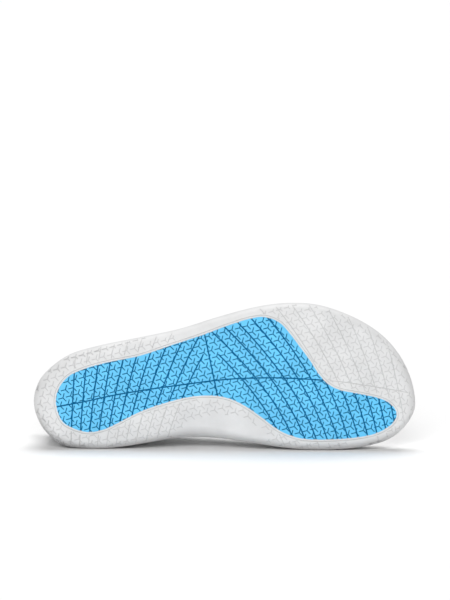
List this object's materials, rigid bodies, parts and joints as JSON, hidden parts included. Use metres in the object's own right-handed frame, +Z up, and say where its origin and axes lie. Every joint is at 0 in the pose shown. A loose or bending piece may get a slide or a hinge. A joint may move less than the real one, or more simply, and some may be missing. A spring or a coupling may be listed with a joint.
{
  "type": "barefoot shoe",
  "caption": "Low barefoot training shoe with a thin flexible cup sole, a blue tread inlay and a hollow laced fabric upper, lying on its inner side.",
  "frame": {"origin": "centre of the bounding box in plan, on the floor that the shoe lies on", "axes": "+X along the sole from heel to toe, -Y the way the sole faces, +Z up to the outer side of the foot"},
  "size_m": [0.2838, 0.1054, 0.1084],
  "materials": {
    "white_rubber": "matte moulded rubber",
    "blue_rubber": "satin moulded rubber",
    "white_mesh": "knitted mesh",
    "grey_foam": "cloth over foam",
    "pale_film": "smooth coated cloth",
    "lace_cord": "woven tape"
  },
  "bodies": {
    "root": {"outsole": "white_rubber", "tread_inlay": "blue_rubber", "upper": "white_mesh", "insole": "grey_foam", "tongue": "white_mesh", "eyestay": "pale_film", "lace": "lace_cord", "heel_loop": "lace_cord"}
  },
  "joints": []
}
